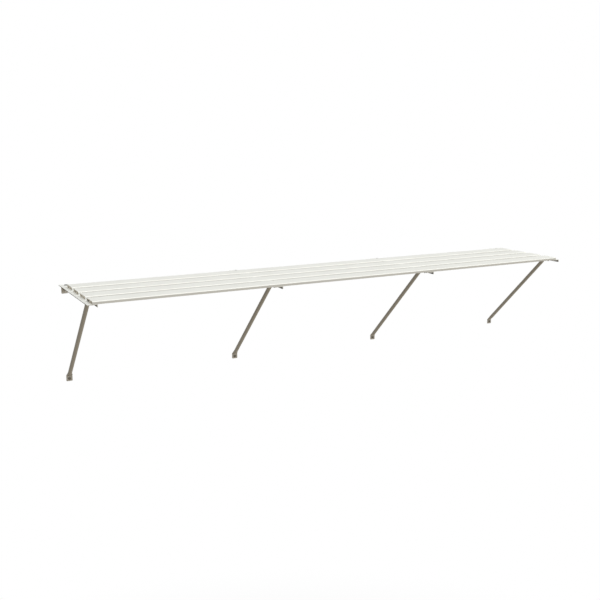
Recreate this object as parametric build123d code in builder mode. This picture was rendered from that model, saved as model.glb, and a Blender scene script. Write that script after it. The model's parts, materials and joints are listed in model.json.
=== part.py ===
"""Slatted wall shelf: four hollow slats carried by four arms, each arm held by a strut.

X runs along the wall, +Y points into the wall and +Z is up. The origin lies on the wall plane,
at the centre of the rectangle that the outermost wall bolts make. All sizes are in millimetres.
"""
import os
from math import radians, sqrt, tan

from build123d import *

# Layout along the wall and away from it
bracket_count = 4
bay = 730
fixing_drop = 368
arm_above_bolt = 19
shelf_depth = 450

# Slats: channels open below, with a slot for the bolt heads under the middle of the top
slat_count = 4
slat_width = 78
slat_pitch = 100
slat_height = 11.5
slat_wall = 1.6
slat_edge_radius = 4
bolt_channel_width = 10.6
bolt_channel_mouth = 6.8
bolt_channel_lip = 1.8
bolt_channel_wall = 1.3
slat_bolt_inset = 9.5

# Arms: unequal angles, flange down
arm_flange_drop = 11
arm_width = 38
arm_thickness = 2.5
arm_wall_gap = 5
arm_corner_radius = 2
arm_root_radius = 0.5

# Struts: round tube, pressed flat and bent at both ends
tube_diameter = 16
tube_wall = 1.25
flat_width = 25
flat_thickness = 2 * tube_wall
flat_length = 22.5
flat_edge_radius = 1.2
flat_corner_radius = 3
bend_radius = 5
press_length = 16
flange_clearance = 0.4

# Wall cleats: short equal-width angles between arm and wall
cleat_width = 24.4
cleat_thickness = 3
cleat_drop = 37
cleat_depth = 44
cleat_corner_radius = 3
cleat_root_radius = 2
cleat_bolt_y = -30

# M6 fasteners: the plain shank is reduced to about the thread's pitch diameter
shank_radius = 2.7
thread_radius = 3
hole_radius = 3.3
hex_across_flats = 10
head_height = 4
nut_height = 5
hex_corner_bevel = 30
bolt_end_chamfer = 0.6
thread_past_nut = 2.5
wall_bolt_reach = 10

# Positions that follow from the sizes above
shelf_length = (bracket_count - 1) * bay
upper_bolt_z = fixing_drop / 2
lower_bolt_z = -fixing_drop / 2
arm_top = upper_bolt_z + arm_above_bolt
arm_underside = arm_top - arm_thickness
flange_inner_x = flat_width / 2 + flange_clearance
arm_right_x = flange_inner_x + arm_thickness
arm_left_x = arm_right_x - arm_width
arm_middle_x = (arm_left_x + arm_right_x) / 2
bracket_xs = [bay * n - shelf_length / 2 for n in range(bracket_count)]
slat_ys = [-shelf_depth + slat_width / 2 + slat_pitch * n for n in range(slat_count)]
slat_start_x = bracket_xs[0] + arm_middle_x

# The strut's centreline in the YZ plane: down the wall, up at 45 degrees, out under the arm
foot_bend_z = lower_bolt_z + flat_length / 2
foot_bend_y = -flat_thickness / 2
arm_bend_z = arm_underside - flat_thickness / 2
arm_bend_y = foot_bend_y - (arm_bend_z - foot_bend_z)
strut_bolt_y = arm_bend_y - flat_length / 2
strut_run = sqrt(2) * (arm_bend_z - foot_bend_z)


def place_on_strut(x, distance):
    """Plane square to the strut's axis, a distance up from the lower bend."""
    step = distance / sqrt(2)
    return Plane(
        origin=(x, foot_bend_y - step, foot_bend_z + step),
        x_dir=(1, 0, 0),
        z_dir=(0, -1, 1),
    )


def facing_up(x, y, z):
    return Plane(origin=(x, y, z), x_dir=(1, 0, 0), z_dir=(0, 0, 1))


def facing_down(x, y, z):
    return Plane(origin=(x, y, z), x_dir=(1, 0, 0), z_dir=(0, 0, -1))


def facing_front(x, y, z):
    return Plane(origin=(x, y, z), x_dir=(1, 0, 0), z_dir=(0, -1, 0))


def facing_right(x, y, z):
    return Plane(origin=(x, y, z), x_dir=(0, 1, 0), z_dir=(1, 0, 0))


def slat_bolt_x(number):
    """The slat bolts stand mid-arm, but on an end arm they stand just inside the slat's end."""
    middle = bracket_xs[number] + arm_middle_x
    if number == 0:
        return middle + slat_bolt_inset
    if number == bracket_count - 1:
        return middle - slat_bolt_inset
    return middle


def make_slat(y):
    side = (slat_width - slat_wall) / 2
    roof = slat_height - slat_wall / 2
    rib = (bolt_channel_width + bolt_channel_wall) / 2
    lip = (bolt_channel_width - bolt_channel_mouth) / 2
    lip_middle = (bolt_channel_mouth + lip) / 2
    with BuildPart() as slat:
        with BuildSketch(facing_right(slat_start_x, y, arm_top)):
            with BuildLine():
                FilletPolyline(
                    (-side, 0), (-side, roof), (side, roof), (side, 0),
                    radius=slat_edge_radius - slat_wall / 2,
                )
            trace(line_width=slat_wall)
            with Locations((-rib, 0), (rib, 0)):
                Rectangle(bolt_channel_wall, roof, align=(Align.CENTER, Align.MIN))
            with Locations((-lip_middle, 0), (lip_middle, 0)):
                Rectangle(lip, bolt_channel_lip, align=(Align.CENTER, Align.MIN))
        extrude(amount=shelf_length)
    return slat


def make_arm(number):
    x = bracket_xs[number]
    length = shelf_depth - arm_wall_gap
    with BuildPart() as arm:
        with BuildSketch(facing_front(x, -arm_wall_gap, arm_top)) as angle:
            with Locations((arm_left_x, 0)):
                Rectangle(arm_width, arm_thickness, align=(Align.MIN, Align.MAX))
            with Locations((arm_right_x, 0)):
                Rectangle(arm_thickness, arm_flange_drop, align=(Align.MAX, Align.MAX))
            root = angle.vertices().sort_by_distance((flange_inner_x, -arm_thickness))[0]
            fillet(root, radius=arm_root_radius)
        extrude(amount=length)
        free_side = arm.edges().filter_by(Axis.Z).group_by(Axis.X)[0]
        fillet(free_side, radius=arm_corner_radius)
        with Locations(
            facing_up(x, strut_bolt_y, arm_top),
            facing_up(x, cleat_bolt_y, arm_top),
            *[facing_up(slat_bolt_x(number), y, arm_top) for y in slat_ys],
        ):
            Hole(radius=hole_radius, depth=arm_thickness)
    return arm


def make_strut(x):
    round_start = bend_radius + press_length
    round_end = strut_run - round_start
    # a hair under the tube's radius, which leaves the loft four short flats to start from
    loft_radius = 0.999 * tube_diameter / 2
    foot_end = (x, foot_bend_y, foot_bend_z - flat_length)
    foot_bend = (x, foot_bend_y, foot_bend_z)
    arm_bend = (x, arm_bend_y, arm_bend_z)
    arm_end = (x, arm_bend_y - flat_length, arm_bend_z)
    with BuildPart() as strut:
        # the two pressed ends, each bent by 45 degrees
        for outer, corner, distance in (
            (foot_end, foot_bend, bend_radius),
            (arm_end, arm_bend, strut_run - bend_radius),
        ):
            stop = place_on_strut(x, distance).origin
            with BuildLine() as path:
                FilletPolyline(outer, corner, stop, radius=bend_radius)
            with BuildSketch(Plane(origin=outer, x_dir=(1, 0, 0), z_dir=path.line % 0)):
                RectangleRounded(flat_width, flat_thickness, flat_edge_radius)
            sweep(path=path.line)
        # from flat to round at each end, and the round tube between
        for flat_at, round_at in (
            (bend_radius, round_start),
            (strut_run - bend_radius, round_end),
        ):
            with BuildSketch(place_on_strut(x, flat_at)):
                RectangleRounded(flat_width, flat_thickness, flat_edge_radius)
            with BuildSketch(place_on_strut(x, round_at)):
                RectangleRounded(tube_diameter, tube_diameter, loft_radius)
            loft()
        with BuildSketch(place_on_strut(x, round_start)):
            Circle(tube_diameter / 2)
            Circle(tube_diameter / 2 - tube_wall, mode=Mode.SUBTRACT)
        extrude(amount=round_end - round_start)
        # the outer corners of both flats are rounded off
        for end in (facing_front(*foot_end), facing_up(*arm_end)):
            with BuildSketch(end):
                Rectangle(2 * flat_width, 2 * flat_corner_radius)
                with Locations((0, flat_length)):
                    RectangleRounded(
                        flat_width, 2 * flat_length, flat_corner_radius, mode=Mode.SUBTRACT
                    )
            extrude(amount=flat_thickness, both=True, mode=Mode.SUBTRACT)
        with Locations(
            facing_front(x, -flat_thickness, lower_bolt_z),
            facing_up(x, strut_bolt_y, arm_underside),
        ):
            Hole(radius=hole_radius, depth=flat_thickness)
    return strut


def make_wall_cleat(x):
    with BuildPart() as cleat:
        with BuildSketch(facing_right(x - cleat_width / 2, 0, arm_underside)) as angle:
            Rectangle(cleat_depth, cleat_thickness, align=(Align.MAX, Align.MAX))
            Rectangle(cleat_thickness, cleat_drop - arm_thickness, align=(Align.MAX, Align.MAX))
            root = angle.vertices().sort_by_distance((-cleat_thickness, -cleat_thickness))[0]
            fillet(root, radius=cleat_root_radius)
        extrude(amount=cleat_width)
        front_corners = cleat.edges().filter_by(Axis.Z).group_by(Axis.Y)[0]
        bottom_corners = cleat.edges().filter_by(Axis.Y).group_by(Axis.Z)[0]
        fillet(front_corners + bottom_corners, radius=cleat_corner_radius)
        with Locations(
            facing_up(x, cleat_bolt_y, arm_underside),
            facing_front(x, -cleat_thickness, upper_bolt_z),
        ):
            Hole(radius=hole_radius, depth=cleat_thickness)
    return cleat


def axial_plane(seat):
    """Plane through a fastener's axis: x is the radius and y runs out of the seat."""
    return Plane(origin=seat.origin, x_dir=seat.x_dir, z_dir=-seat.y_dir)


def corner_bevel(seat, height):
    """Section of the bevel that turns down a hexagon's corners."""
    inner = hex_across_flats / 2
    outer = hex_across_flats
    fall = (outer - inner) * tan(radians(hex_corner_bevel))
    with BuildSketch(axial_plane(seat)) as bevel:
        with BuildLine():
            Polyline((inner, height), (outer, height), (outer, height - fall), close=True)
        make_face()
    return bevel.sketch


def make_bolts(seats, grip, reach):
    """Hexagon bolts with heads on the seats, plain over the grip and threaded over the reach."""
    with BuildPart() as bolts:
        for seat in seats:
            axis = Axis(seat.origin, seat.z_dir)
            with BuildSketch(seat):
                RegularPolygon(hex_across_flats / 2, 6, major_radius=False)
            extrude(amount=head_height)
            revolve(corner_bevel(seat, head_height), axis=axis, mode=Mode.SUBTRACT)
            with BuildSketch(axial_plane(seat)):
                with BuildLine():
                    Polyline(
                        (0, 0),
                        (shank_radius, 0),
                        (shank_radius, -grip),
                        (thread_radius, -grip),
                        (thread_radius, bolt_end_chamfer - grip - reach),
                        (thread_radius - bolt_end_chamfer, -grip - reach),
                        (0, -grip - reach),
                        close=True,
                    )
                make_face()
            revolve(axis=axis)
    return bolts


def make_nuts(seats):
    """Hexagon nuts standing on the seats."""
    with BuildPart() as nuts:
        for seat in seats:
            axis = Axis(seat.origin, seat.z_dir)
            with BuildSketch(seat):
                RegularPolygon(hex_across_flats / 2, 6, major_radius=False)
                Circle(thread_radius, mode=Mode.SUBTRACT)
            extrude(amount=nut_height)
            revolve(corner_bevel(seat, nut_height), axis=axis, mode=Mode.SUBTRACT)
    return nuts


def save(piece, name):
    piece.part.label = name
    export_step(piece.part, f"parts/{name}.step")


def save_clamped(number, name, x, ys, head_z, nut_z):
    """A bolt and a nut at each y, clamping what lies between the two heights."""
    heads = [facing_up(x, y, head_z) for y in ys]
    undersides = [facing_down(x, y, nut_z) for y in ys]
    reach = nut_height + thread_past_nut
    plural = "s" if len(ys) > 1 else ""
    save(make_bolts(heads, head_z - nut_z, reach), f"{name}_bolt{plural}_{number + 1}")
    save(make_nuts(undersides), f"{name}_nut{plural}_{number + 1}")


os.makedirs("parts", exist_ok=True)

for number, y in enumerate(slat_ys):
    save(make_slat(y), f"slat_{number + 1}")

for number, x in enumerate(bracket_xs):
    save(make_arm(number), f"arm_{number + 1}")
    save(make_strut(x), f"strut_{number + 1}")
    save(make_wall_cleat(x), f"wall_cleat_{number + 1}")

    lip_top = arm_top + bolt_channel_lip
    strut_underside = arm_underside - flat_thickness
    cleat_underside = arm_underside - cleat_thickness
    save_clamped(number, "slat", slat_bolt_x(number), slat_ys, lip_top, arm_underside)
    save_clamped(number, "strut", x, [strut_bolt_y], arm_top, strut_underside)
    save_clamped(number, "cleat", x, [cleat_bolt_y], arm_top, cleat_underside)

    upper_seat = facing_front(x, -cleat_thickness, upper_bolt_z)
    lower_seat = facing_front(x, -flat_thickness, lower_bolt_z)
    upper_bolt = make_bolts([upper_seat], cleat_thickness, wall_bolt_reach)
    lower_bolt = make_bolts([lower_seat], flat_thickness, wall_bolt_reach)
    save(upper_bolt, f"upper_wall_bolt_{number + 1}")
    save(lower_bolt, f"lower_wall_bolt_{number + 1}")
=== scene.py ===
"""The slatted wall shelf in a plain pale studio. All sizes are in metres."""

import json
from math import cos, pi, radians, sin, sqrt, tan

import bmesh
import bpy
from mathutils import Euler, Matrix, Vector

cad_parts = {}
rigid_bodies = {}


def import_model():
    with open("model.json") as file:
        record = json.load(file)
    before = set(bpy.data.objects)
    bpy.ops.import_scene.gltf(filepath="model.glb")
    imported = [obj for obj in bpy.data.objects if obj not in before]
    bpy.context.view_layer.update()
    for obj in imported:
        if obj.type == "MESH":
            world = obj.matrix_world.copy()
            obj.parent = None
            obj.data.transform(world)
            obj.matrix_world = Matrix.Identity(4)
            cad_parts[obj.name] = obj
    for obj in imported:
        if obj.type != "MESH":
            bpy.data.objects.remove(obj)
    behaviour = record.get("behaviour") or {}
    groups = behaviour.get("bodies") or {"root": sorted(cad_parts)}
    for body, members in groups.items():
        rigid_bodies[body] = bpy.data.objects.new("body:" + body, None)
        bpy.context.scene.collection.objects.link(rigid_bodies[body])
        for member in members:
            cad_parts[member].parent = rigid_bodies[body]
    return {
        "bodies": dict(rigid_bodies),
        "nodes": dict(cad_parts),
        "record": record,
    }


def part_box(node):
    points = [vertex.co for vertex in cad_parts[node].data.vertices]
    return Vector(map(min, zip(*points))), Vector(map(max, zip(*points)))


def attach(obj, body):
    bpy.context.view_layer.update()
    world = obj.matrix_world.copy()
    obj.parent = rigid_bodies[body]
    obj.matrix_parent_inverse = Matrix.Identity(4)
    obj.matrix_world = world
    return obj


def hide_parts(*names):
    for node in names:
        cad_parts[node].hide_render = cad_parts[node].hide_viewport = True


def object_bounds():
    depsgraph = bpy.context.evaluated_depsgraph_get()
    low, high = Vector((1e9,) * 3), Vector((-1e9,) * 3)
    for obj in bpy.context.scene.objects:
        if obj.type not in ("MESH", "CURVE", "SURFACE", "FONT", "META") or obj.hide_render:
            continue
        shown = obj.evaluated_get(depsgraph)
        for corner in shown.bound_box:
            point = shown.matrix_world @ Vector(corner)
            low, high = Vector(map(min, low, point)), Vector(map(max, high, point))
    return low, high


MM = 0.001
WHITE = (1, 1, 1, 1)

# The camera stands to the left of the shelf's middle, in front of it and a little above it
CAMERA_PLACE = Vector((-1.8108, -3.3167, 0.8004))
CAMERA_AZIMUTH = 28.18
CAMERA_ELEVATION = 11.46
CAMERA_LENS = 50.18
CAMERA_REACH = 200.0

# The floor lies far enough below for the shelf to be seen from underneath
FLOOR_DROP = 5.5
FLOOR_SIZE = 60.0
FLOOR_SHADE = (0.60, 0.60, 0.60, 1)
FLOOR_SHADE_REACH = (1.0, 8.0)

# Colours of the studio's light
GROUND_LIGHT = (0.29, 0.255, 0.20, 1)
SKY_LIGHT = (0.92, 0.90, 0.845, 1)
KEY_LIGHT = (1.88, 1.96, 1.98, 1)
BACK_LIGHT = (0.20, 0.19, 0.165, 1)

# Where the light changes: the height of a direction over the horizon, how far it points into the
# wall, and how closely it follows the key light's direction, each as a sine or cosine
SKY_RISE = (-0.1, 0.6)
KEY_DIRECTION = (0.33, -0.26, 0.91)
KEY_RISE = (0.68, 0.97)
BACK_RISE = (0.1, 0.9)
BACK_TOP = (0.3, 0.8)
BACK_SHARE = 0.8
SIDE_FALL = 0.35

# Sizes of the strut's pressed ends
STRUT_FLAT_LENGTH = 22.5 * MM
STRUT_FLAT_THICKNESS = 2.5 * MM

# The slats' walls are thicker than this, so what lies deeper is inside
SLAT_SKIN = 0.8 * MM
# Painted light: a pale tan for the slats' inner faces, standing in for light reaching inside them
PAINTED_INSIDE_LIGHT = (0.96, 0.93, 0.86, 1)

# M6 bolts
ACROSS_FLATS = 10 * MM
HEAD_HEIGHT = 4 * MM
HEAD_BEVEL = radians(30)
HEAD_TOP_SHARE = 0.96
SHANK_RADIUS = 2.7 * MM
THREAD_RADIUS = 3 * MM
THREAD_DEPTH = 0.6 * MM
THREAD_PITCH = 1 * MM
TIP_CHAMFER = 0.6 * MM
CLAMP_THREAD = 7.5 * MM
WALL_THREAD = 10 * MM
BOLT_SEGMENTS = 36
RINGS_PER_PITCH = 6
SHARP_ANGLE = radians(35)

# Metals, as colour and roughness
SLAT_COLOUR = (0.86, 0.86, 0.84)
ARM_COLOUR = (0.86, 0.86, 0.84)
CLEAT_COLOUR = (0.84, 0.83, 0.80)
# Darker than the slats' aluminium as painted shade, standing in for the shade under the shelf
STRUT_COLOUR = (0.76, 0.75, 0.72)
ZINC_COLOUR = (0.42, 0.42, 0.42)
# Painted shade: a darker copy of the zinc for the wall bolts, standing in for the shade on their
# heads
SHADED_ZINC_COLOUR = (0.34, 0.33, 0.315)
SHINE = 0.18
STRUT_SHINE = 0.5

# Patterns, as the number of features in a metre
LINES_ACROSS = 900
LINES_ALONG = 1.5
CLOUDS = 9
SPECKS = 420
SAW_ACROSS = 300
SAW_LINES = 2500
CRYSTALS = 1300
STAINS = 260

# The radius over which edges are rubbed, and how deep the surface patterns go
RUBBED_RADIUS = 0.7 * MM
PLATED_RUBBED_RADIUS = 0.4 * MM
LINE_DEPTH = 0.03 * MM
STAIN_DEPTH = 0.05 * MM


def new_material(name):
    """An empty node material with its output and one principled shader, joined."""
    material = bpy.data.materials.new(name)
    material.use_nodes = True
    tree = material.node_tree
    tree.nodes.clear()
    output = tree.nodes.new("ShaderNodeOutputMaterial")
    shader = tree.nodes.new("ShaderNodeBsdfPrincipled")
    tree.links.new(shader.outputs["BSDF"], output.inputs["Surface"])
    return material, tree, shader


def put(tree, socket, value):
    """Feeds an input with another node's output, or with a plain value."""
    if isinstance(value, bpy.types.NodeSocket):
        tree.links.new(value, socket)
    else:
        socket.default_value = value


def calculate(tree, operation, first, second=0.0):
    node = tree.nodes.new("ShaderNodeMath")
    node.operation = operation
    put(tree, node.inputs[0], first)
    put(tree, node.inputs[1], second)
    return node.outputs[0]


def plus(tree, first, second):
    return calculate(tree, "ADD", first, second)


def minus(tree, first, second):
    return calculate(tree, "SUBTRACT", first, second)


def times(tree, first, second):
    return calculate(tree, "MULTIPLY", first, second)


def compare_directions(tree, first, second):
    """The cosine of the angle between two directions."""
    node = tree.nodes.new("ShaderNodeVectorMath")
    node.operation = "DOT_PRODUCT"
    put(tree, node.inputs[0], first)
    put(tree, node.inputs[1], second)
    return node.outputs["Value"]


def scaled_vector(tree, parts, scales):
    node = tree.nodes.new("ShaderNodeCombineXYZ")
    for socket, part, scale in zip(node.inputs, parts, scales):
        put(tree, socket, times(tree, part, scale))
    return node.outputs[0]


def place_parts(tree):
    """A point's place on the shelf, whole and as x, y and z."""
    place = tree.nodes.new("ShaderNodeTexCoord").outputs["Object"]
    split = tree.nodes.new("ShaderNodeSeparateXYZ")
    tree.links.new(place, split.inputs[0])
    return place, split.outputs


def surface_normal(tree):
    """The direction in which a face looks, whole and as x, y and z."""
    normal = tree.nodes.new("ShaderNodeNewGeometry").outputs["True Normal"]
    split = tree.nodes.new("ShaderNodeSeparateXYZ")
    tree.links.new(normal, split.inputs[0])
    return normal, split.outputs


def noise(tree, place, scale, detail):
    node = tree.nodes.new("ShaderNodeTexNoise")
    put(tree, node.inputs["Vector"], place)
    node.inputs["Scale"].default_value = scale
    node.inputs["Detail"].default_value = detail
    return node.outputs["Fac"]


def spread(tree, value, low, high, start=0.0, end=1.0):
    """Maps a value between start and end to the range from low to high."""
    node = tree.nodes.new("ShaderNodeMapRange")
    put(tree, node.inputs["Value"], value)
    node.inputs["From Min"].default_value = start
    node.inputs["From Max"].default_value = end
    node.inputs["To Min"].default_value = low
    node.inputs["To Max"].default_value = high
    return node.outputs["Result"]


def soft_step(tree, value, start, end):
    """0 below start and 1 above end, with a smooth rise between them."""
    node = tree.nodes.new("ShaderNodeMapRange")
    node.interpolation_type = "SMOOTHSTEP"
    put(tree, node.inputs["Value"], value)
    node.inputs["From Min"].default_value = start
    node.inputs["From Max"].default_value = end
    return node.outputs["Result"]


def blend_colours(tree, factor, first, second):
    node = tree.nodes.new("ShaderNodeMix")
    node.data_type = "RGBA"
    put(tree, node.inputs["Factor"], factor)
    put(tree, node.inputs["A"], first)
    put(tree, node.inputs["B"], second)
    return node.outputs["Result"]


def bump(tree, height, distance, strength):
    node = tree.nodes.new("ShaderNodeBump")
    node.inputs["Strength"].default_value = strength
    node.inputs["Distance"].default_value = distance
    tree.links.new(height, node.inputs["Height"])
    return node.outputs["Normal"]


def set_material(piece, material):
    slots = piece.data.materials
    slots.clear()
    slots.append(material)


def shaded(colour, factor):
    return (*[channel * factor for channel in colour], 1)


def worn_edges(tree, radius):
    """1 along sharp edges, where rounding by the radius would turn the surface, and 0 elsewhere."""
    bevel = tree.nodes.new("ShaderNodeBevel")
    bevel.samples = 4
    bevel.inputs["Radius"].default_value = radius
    turn = compare_directions(tree, bevel.outputs["Normal"], surface_normal(tree)[0])
    return spread(tree, turn, 1, 0, 0.75, 0.97)


def inside_slat(tree, y, z):
    """1 on a slat's inner faces and 0 on its outer ones."""
    low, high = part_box("slat_1")
    next_low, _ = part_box("slat_2")
    pitch = next_low.y - low.y
    from_slat_front = calculate(tree, "MODULO", minus(tree, y, low.y), pitch)
    past_front = calculate(tree, "GREATER_THAN", from_slat_front, SLAT_SKIN)
    before_back = calculate(tree, "LESS_THAN", from_slat_front, high.y - low.y - SLAT_SKIN)
    under_top = calculate(tree, "LESS_THAN", z, high.z - SLAT_SKIN)
    return times(tree, times(tree, past_front, before_back), under_top)


def grain_along_x(tree, x, y, z):
    return scaled_vector(tree, (x, y, z), (LINES_ALONG, LINES_ACROSS, LINES_ACROSS))


def grain_along_y(tree, x, y, z):
    return scaled_vector(tree, (x, y, z), (LINES_ACROSS, LINES_ALONG, LINES_ACROSS))


def grain_along_strut(tree, x, y, z):
    """Lines that follow the strut up the wall, out along its slope and forwards under the arm.

    Of the distances behind its three centre planes, the largest is the one of the stretch at hand.
    """
    low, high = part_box("strut_1")
    middle = STRUT_FLAT_THICKNESS / 2
    from_wall = plus(tree, y, middle)
    over_foot = minus(tree, z, low.z + STRUT_FLAT_LENGTH)
    behind_slope = times(tree, plus(tree, from_wall, over_foot), sqrt(0.5))
    over_arm_end = minus(tree, z, high.z - middle)
    behind = calculate(tree, "MAXIMUM", from_wall, behind_slope)
    behind = calculate(tree, "MAXIMUM", behind, over_arm_end)
    along = minus(tree, z, y)
    return scaled_vector(tree, (x, behind, along), (LINES_ACROSS, LINES_ACROSS, LINES_ALONG))


def drawn_metal(
    name, colour, roughness, grain, metallic=SHINE, cut_axis=None, painted_left_shade=None, painted_inside_light=False
):
    """Aluminium as it leaves the die: fine lines along the grain, a cloudy sheen and rubbed edges.

    grain makes the vector that the lines follow. Faces square to cut_axis have saw marks. Faces
    turned towards -X can be darkened to a share of the colour as painted shade, and a slat's inner
    faces can be paler, painted light standing in for light that reaches inside.
    """
    material, tree, shader = new_material(name)
    place, (x, y, z) = place_parts(tree)
    lines = noise(tree, grain(tree, x, y, z), 1, 4)
    clouds = noise(tree, place, CLOUDS, 3)
    specks = noise(tree, place, SPECKS, 2)
    wear = worn_edges(tree, RUBBED_RADIUS)
    tone = plus(tree, spread(tree, lines, 0, 0.55), spread(tree, clouds, 0, 0.45))
    base = blend_colours(tree, tone, shaded(colour, 0.94), shaded(colour, 1.05))
    line_roughness = spread(tree, lines, roughness - 0.05, roughness + 0.05, 0.3, 0.7)
    rough = plus(tree, line_roughness, spread(tree, clouds, -0.02, 0.02, 0.3, 0.7))
    height = plus(tree, lines, spread(tree, specks, 0, 0.3))

    if cut_axis is not None:
        normal = surface_normal(tree)[1]
        cut = spread(tree, calculate(tree, "ABSOLUTE", normal[cut_axis]), 0, 1, 0.9, 0.95)
        saw_scales = (SAW_ACROSS, SAW_ACROSS, SAW_LINES)
        marks = noise(tree, scaled_vector(tree, (x, y, z), saw_scales), 1, 3)
        base = blend_colours(tree, times(tree, cut, 0.5), base, shaded(colour, 1.1))
        rough = plus(tree, rough, times(tree, cut, 0.1))
        uncut_height = times(tree, height, minus(tree, 1, cut))
        height = plus(tree, uncut_height, times(tree, times(tree, marks, cut), 3))

    # Painted shade: faces turned towards -X get a darker colour, standing in for the shade on that
    # side
    if painted_left_shade is not None:
        left_shade_mask = spread(tree, surface_normal(tree)[1][0], 1, 0, -0.9, -0.5)
        base = blend_colours(tree, left_shade_mask, base, shaded(colour, painted_left_shade))

    base = blend_colours(tree, times(tree, wear, 0.35), base, shaded(colour, 1.12))
    # Painted light: the slats' inner faces get a pale tan, standing in for light reaching inside
    if painted_inside_light:
        base = blend_colours(tree, inside_slat(tree, y, z), base, PAINTED_INSIDE_LIGHT)
    rough = minus(tree, rough, times(tree, wear, 0.08))
    put(tree, shader.inputs["Base Color"], base)
    put(tree, shader.inputs["Roughness"], rough)
    shader.inputs["Metallic"].default_value = metallic
    put(tree, shader.inputs["Normal"], bump(tree, height, LINE_DEPTH, 0.6))
    return material


def zinc_plate(name, colour, roughness):
    """Plated steel: small crystals of slightly different shine, and edges where the steel shows."""
    material, tree, shader = new_material(name)
    place, _ = place_parts(tree)
    crystals = tree.nodes.new("ShaderNodeTexVoronoi")
    crystals.inputs["Scale"].default_value = CRYSTALS
    tree.links.new(place, crystals.inputs["Vector"])
    stain = noise(tree, place, STAINS, 4)
    wear = worn_edges(tree, PLATED_RUBBED_RADIUS)
    crystal_tone = spread(tree, crystals.outputs["Distance"], 0, 0.5)
    tone = plus(tree, crystal_tone, spread(tree, stain, 0, 0.5))
    base = blend_colours(tree, tone, shaded(colour, 0.8), shaded(colour, 1.15))
    base = blend_colours(tree, times(tree, wear, 0.5), base, shaded(colour, 1.4))
    rough = spread(tree, stain, roughness - 0.1, roughness + 0.12, 0.3, 0.7)
    put(tree, shader.inputs["Base Color"], base)
    put(tree, shader.inputs["Roughness"], rough)
    shader.inputs["Metallic"].default_value = 1
    put(tree, shader.inputs["Normal"], bump(tree, stain, STAIN_DEPTH, 0.5))
    return material


def hexagon(angle, flat_radius):
    """Distance from a hexagon's middle to its rim in a direction, with a corner at angle 0."""
    off_flat = (angle % (pi / 3)) - pi / 6
    return flat_radius / cos(off_flat)


def bolt_rings(length, thread):
    """The bolt's outline from the top of its head to its tip, as (radius, height) at any angle."""
    flat = ACROSS_FLATS / 2
    root = THREAD_RADIUS - THREAD_DEPTH
    tip = THREAD_RADIUS - TIP_CHAMFER

    def head_rim(angle):
        corner = hexagon(angle, flat)
        return corner, HEAD_HEIGHT - (corner - flat) * tan(HEAD_BEVEL)

    rings = [
        lambda angle: (HEAD_TOP_SHARE * flat, HEAD_HEIGHT),
        head_rim,
        lambda angle: (hexagon(angle, flat), 0),
        lambda angle: (SHANK_RADIUS, 0),
        lambda angle: (SHANK_RADIUS, thread - length),
    ]
    steps = round(thread / THREAD_PITCH * RINGS_PER_PITCH)
    for step in range(steps + 1):
        depth = thread * step / steps

        def groove(angle, depth=depth):
            turn = (depth / THREAD_PITCH - angle / (2 * pi)) % 1
            radius = root + THREAD_DEPTH * abs(2 * turn - 1)
            return min(radius, tip + thread - depth), thread - length - depth

        rings.append(groove)
    return rings


def add_bolt(mesh, seat, out, length, thread):
    """Adds one bolt whose head stands on the seat and points along out."""
    side = Vector((1, 0, 0))
    other = out.cross(side)

    def point(radius, height, angle):
        sideways = side * cos(angle) + other * sin(angle)
        return mesh.verts.new(seat + sideways * radius + out * height)

    angles = [2 * pi * n / BOLT_SEGMENTS for n in range(BOLT_SEGMENTS)]
    rows = []
    for ring in bolt_rings(length, thread):
        rows.append([point(*ring(angle), angle) for angle in angles])
    for upper, lower in zip(rows, rows[1:]):
        for n in range(BOLT_SEGMENTS):
            after = (n + 1) % BOLT_SEGMENTS
            mesh.faces.new((upper[n], lower[n], lower[after], upper[after]))
    mesh.faces.new(rows[0])
    mesh.faces.new(reversed(rows[-1]))


def bolt_piece(node_name, seats, out, length, thread, material):
    """The threaded bolts that stand for a CAD node's plain ones."""
    name = node_name + "_threaded"
    mesh = bmesh.new()
    for seat in seats:
        add_bolt(mesh, seat, out, length, thread)
    bmesh.ops.recalc_face_normals(mesh, faces=mesh.faces)
    data = bpy.data.meshes.new(name)
    mesh.to_mesh(data)
    mesh.free()
    data.shade_smooth()
    data.set_sharp_from_angle(angle=SHARP_ANGLE)
    piece = bpy.data.objects.new(name, data)
    bpy.context.scene.collection.objects.link(piece)
    set_material(piece, material)
    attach(piece, BODY)
    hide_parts(node_name)


def make_clamp_bolts(node_name, ys, material):
    """Bolts through the arm, heads up, one at each y."""
    low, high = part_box(node_name)
    seat_z = high.z - HEAD_HEIGHT
    seats = [Vector(((low.x + high.x) / 2, y, seat_z)) for y in ys]
    length = seat_z - low.z
    bolt_piece(node_name, seats, Vector((0, 0, 1)), length, CLAMP_THREAD, material)


def make_wall_bolt(node_name, material):
    low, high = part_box(node_name)
    middle = (low + high) / 2
    seat = Vector((middle.x, low.y + HEAD_HEIGHT, middle.z))
    length = high.y - seat.y
    out = Vector((0, -1, 0))
    bolt_piece(node_name, [seat], out, length, WALL_THREAD, material)


def middle_y(node_name):
    low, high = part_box(node_name)
    return (low.y + high.y) / 2


def make_camera():
    data = bpy.data.cameras.new("camera")
    data.lens = CAMERA_LENS
    data.clip_end = CAMERA_REACH
    camera = bpy.data.objects.new("camera", data)
    camera.location = CAMERA_PLACE
    camera.rotation_euler = Euler(
        (pi / 2 - radians(CAMERA_ELEVATION), 0, -radians(CAMERA_AZIMUTH))
    )
    bpy.context.scene.collection.objects.link(camera)
    bpy.context.scene.camera = camera


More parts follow.
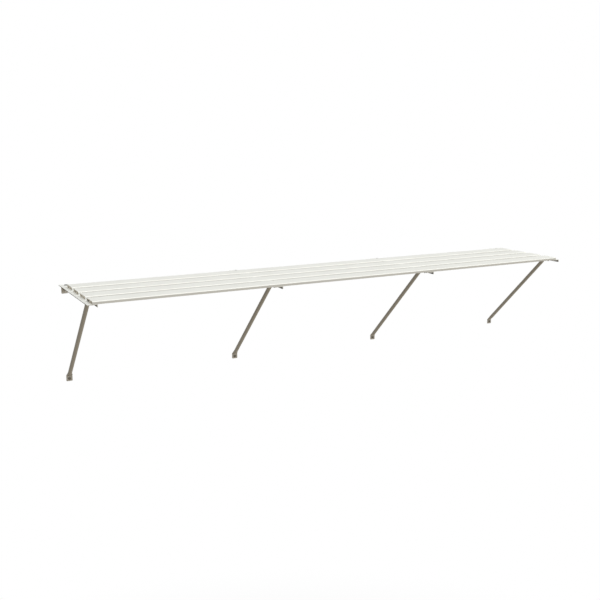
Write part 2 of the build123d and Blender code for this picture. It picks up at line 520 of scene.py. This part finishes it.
def light_colour(tree, direction):
    """The studio's light from a direction: a soft sky over a dim warm ground.

    The sky is dimmer low down on the wall side, and brightest high up, a little to the front right.
    """
    split = tree.nodes.new("ShaderNodeSeparateXYZ")
    tree.links.new(direction, split.inputs[0])
    across, inwards, up = split.outputs
    colour = blend_colours(tree, soft_step(tree, up, *SKY_RISE), GROUND_LIGHT, SKY_LIGHT)
    nearness = compare_directions(tree, direction, Vector(KEY_DIRECTION).normalized())
    colour = blend_colours(tree, soft_step(tree, nearness, *KEY_RISE), colour, KEY_LIGHT)
    low_down = minus(tree, 1, soft_step(tree, up, *BACK_TOP))
    behind = times(tree, soft_step(tree, inwards, *BACK_RISE), low_down)
    colour = blend_colours(tree, times(tree, behind, BACK_SHARE), colour, BACK_LIGHT)
    return colour, spread(tree, across, 1 - SIDE_FALL, 1 + SIDE_FALL, -1, 1)


def make_world():
    """White to the camera; what lights the shelf is the studio's own colours."""
    world = bpy.data.worlds.new("studio")
    bpy.context.scene.world = world
    world.use_nodes = True
    tree = world.node_tree
    tree.nodes.clear()
    output = tree.nodes.new("ShaderNodeOutputWorld")
    mix = tree.nodes.new("ShaderNodeMixShader")
    seen = tree.nodes.new("ShaderNodeBackground")
    seen.inputs["Color"].default_value = WHITE
    lit = tree.nodes.new("ShaderNodeBackground")
    path = tree.nodes.new("ShaderNodeLightPath")
    direction = tree.nodes.new("ShaderNodeTexCoord").outputs["Generated"]
    colour, strength = light_colour(tree, direction)
    tree.links.new(colour, lit.inputs["Color"])
    tree.links.new(strength, lit.inputs["Strength"])
    tree.links.new(path.outputs["Is Camera Ray"], mix.inputs["Fac"])
    tree.links.new(lit.outputs["Background"], mix.inputs[1])
    tree.links.new(seen.outputs["Background"], mix.inputs[2])
    tree.links.new(mix.outputs["Shader"], output.inputs["Surface"])


def make_floor(z):
    """White, with a soft shade straight below the shelf that only shows from above."""
    bpy.ops.mesh.primitive_plane_add(size=FLOOR_SIZE, location=(0, 0, z))
    floor = bpy.context.object
    floor.name = "floor"
    material = bpy.data.materials.new("floor")
    material.use_nodes = True
    tree = material.node_tree
    tree.nodes.clear()
    output = tree.nodes.new("ShaderNodeOutputMaterial")
    glow = tree.nodes.new("ShaderNodeEmission")
    place, _ = place_parts(tree)
    distance = tree.nodes.new("ShaderNodeVectorMath")
    distance.operation = "LENGTH"
    tree.links.new(place, distance.inputs[0])
    out = soft_step(tree, distance.outputs["Value"], *FLOOR_SHADE_REACH)
    put(tree, glow.inputs["Color"], blend_colours(tree, out, FLOOR_SHADE, WHITE))
    tree.links.new(glow.outputs["Emission"], output.inputs["Surface"])
    set_material(floor, material)
    for kind in ("diffuse", "glossy", "transmission", "volume_scatter", "shadow"):
        setattr(floor, "visible_" + kind, False)


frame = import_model()
cad_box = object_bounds()
nodes = frame["nodes"]
BODY = next(iter(frame["bodies"]))

materials = {
    # The slats' inner faces get a pale tan as painted light
    "slat": drawn_metal(
        "slat_aluminium", SLAT_COLOUR, 0.42, grain_along_x, cut_axis=0, painted_inside_light=True
    ),
    # The arm's faces turned towards -X are darkened as painted shade
    "arm": drawn_metal(
        "arm_aluminium", ARM_COLOUR, 0.42, grain_along_y, cut_axis=1, painted_left_shade=0.3
    ),
    "cleat": drawn_metal("cleat_aluminium", CLEAT_COLOUR, 0.45, grain_along_x, cut_axis=0),
    # The struts' darker colour is painted shade from the shelf above
    "strut": drawn_metal(
        "strut_aluminium", STRUT_COLOUR, 0.34, grain_along_strut, metallic=STRUT_SHINE
    ),
    "fastener": zinc_plate("zinc", ZINC_COLOUR, 0.40),
    # The wall bolts' darker zinc is painted shade
    "wall_fastener": zinc_plate("shaded_zinc", SHADED_ZINC_COLOUR, 0.45),
}
slots = {part["node"]: part["material_slot"] for part in frame["record"]["subparts"]}
for name, node in nodes.items():
    set_material(node, materials[slots[name]])

slat_ys = [middle_y(name) for name in sorted(nodes) if slots[name] == "slat"]
for name in sorted(nodes):
    material = materials[slots[name]]
    if name.startswith("slat_bolts"):
        make_clamp_bolts(name, slat_ys, material)
    elif name.startswith(("strut_bolt", "cleat_bolt")):
        make_clamp_bolts(name, [middle_y(name)], material)
    elif "wall_bolt" in name:
        make_wall_bolt(name, material)

bpy.context.scene.view_settings.view_transform = "Standard"
make_camera()
make_world()
make_floor(cad_box[0][2] - FLOOR_DROP)
